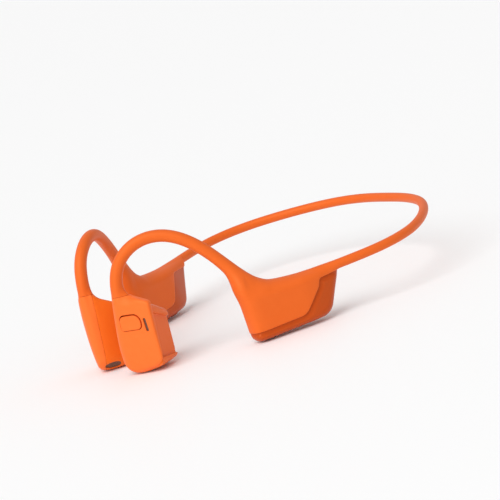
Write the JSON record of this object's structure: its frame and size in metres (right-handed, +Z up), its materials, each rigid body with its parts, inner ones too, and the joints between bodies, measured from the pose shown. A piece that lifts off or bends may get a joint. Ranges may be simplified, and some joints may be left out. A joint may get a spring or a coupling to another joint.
{
  "type": "bone conduction headphones",
  "caption": "Neckband headphones with ear hooks, bone conduction transducers, electronics pods behind the ears, a spring neckband and press buttons.",
  "frame": {"origin": "middle of the bounding box at the table the headphones stand on", "axes": "+X to the wearer's left, +Y to the back (the neckband side), +Z up"},
  "size_m": [0.0976, 0.1126, 0.0401],
  "materials": {
    "silicone": "soft-touch matt orange silicone",
    "matte_shell": "fine matt orange moulding",
    "gloss_case": "polished dark orange plastic",
    "mesh": "dark woven acoustic mesh",
    "titanium": "drawn spring wire",
    "driver_steel": "plated steel",
    "copper": "enamelled copper",
    "black_plastic": "black moulding",
    "metal_can": "nickel plated",
    "battery_foil": "laminated pouch foil",
    "circuit_board": "green solder mask",
    "light_pipe": "milky light pipe"
  },
  "bodies": {
    "neckband": {"neckband_skin": "silicone", "neckband_wire": "titanium"},
    "left_arm": {"left_band_skin": "silicone", "left_band_wire": "titanium", "left_hook_skin": "silicone", "left_hook_wire": "titanium", "left_pod_skin": "silicone", "left_pod_outer_case": "gloss_case", "left_pod_inner_case": "gloss_case", "left_transducer_shell": "matte_shell", "left_transducer_housing": "gloss_case", "left_contact_pad": "silicone", "left_port_grille": "mesh", "left_voice_coil": "copper", "left_driver_spring_plate": "driver_steel", "left_air_speaker": "black_plastic", "multifunction_switch": "black_plastic", "microphone": "metal_can", "microphone_mesh": "mesh", "battery": "battery_foil", "battery_board": "circuit_board"},
    "right_arm": {"right_band_skin": "silicone", "right_band_wire": "titanium", "right_hook_skin": "silicone", "right_hook_wire": "titanium", "right_pod_skin": "silicone", "right_pod_outer_case": "gloss_case", "right_pod_inner_case": "gloss_case", "right_transducer_shell": "matte_shell", "right_transducer_housing": "gloss_case", "right_contact_pad": "silicone", "right_port_grille": "mesh", "right_voice_coil": "copper", "right_driver_spring_plate": "driver_steel", "right_air_speaker": "black_plastic", "main_board": "circuit_board", "processor": "black_plastic", "antenna": "copper", "charging_port_shell": "metal_can", "charging_port_tongue": "black_plastic", "status_light": "light_pipe", "volume_up_switch": "black_plastic", "volume_down_switch": "black_plastic"},
    "left_driver": {"left_driver_yoke": "driver_steel", "left_driver_magnet": "driver_steel"},
    "right_driver": {"right_driver_yoke": "driver_steel", "right_driver_magnet": "driver_steel"},
    "multifunction_button": {"multifunction_button": "matte_shell"},
    "volume_up_button": {"volume_up_button": "gloss_case"},
    "volume_down_button": {"volume_down_button": "gloss_case"}
  },
  "joints": [
    {"name": "neckband_flex_left", "type": "hinge", "parent": "neckband", "child": "left_arm", "pos_m": [0.02015, 0.05385, 0.01708], "axis": [0, -0.0464, 0.9989], "range_deg": [0, 38], "stiffness_Nm_per_rad": 0.17},
    {"name": "neckband_flex_right", "type": "hinge", "parent": "neckband", "child": "right_arm", "pos_m": [-0.02015, 0.05385, 0.01708], "axis": [0, 0.0464, -0.9989], "range_deg": [0, 38], "stiffness_Nm_per_rad": 0.17},
    {"name": "multifunction_press", "type": "slide", "parent": "left_arm", "child": "multifunction_button", "axis": [-0.4864, 0.8728, -0.0397], "range_m": [0, 0.0003], "stiffness_N_per_m": 3000},
    {"name": "volume_up_press", "type": "slide", "parent": "right_arm", "child": "volume_up_button", "axis": [0, -0.0464, 0.9989], "range_m": [0, 0.0003], "stiffness_N_per_m": 3000},
    {"name": "volume_down_press", "type": "slide", "parent": "right_arm", "child": "volume_down_button", "axis": [0, -0.0464, 0.9989], "range_m": [0, 0.0003], "stiffness_N_per_m": 3000},
    {"name": "left_driver_travel", "type": "slide", "parent": "left_arm", "child": "left_driver", "axis": [0.4864, -0.8728, 0.0397], "range_m": [-0.0002, 0.0002], "stiffness_N_per_m": 1200},
    {"name": "right_driver_travel", "type": "slide", "parent": "right_arm", "child": "right_driver", "axis": [-0.4864, -0.8728, 0.0397], "range_m": [-0.0002, 0.0002], "stiffness_N_per_m": 1200}
  ]
}
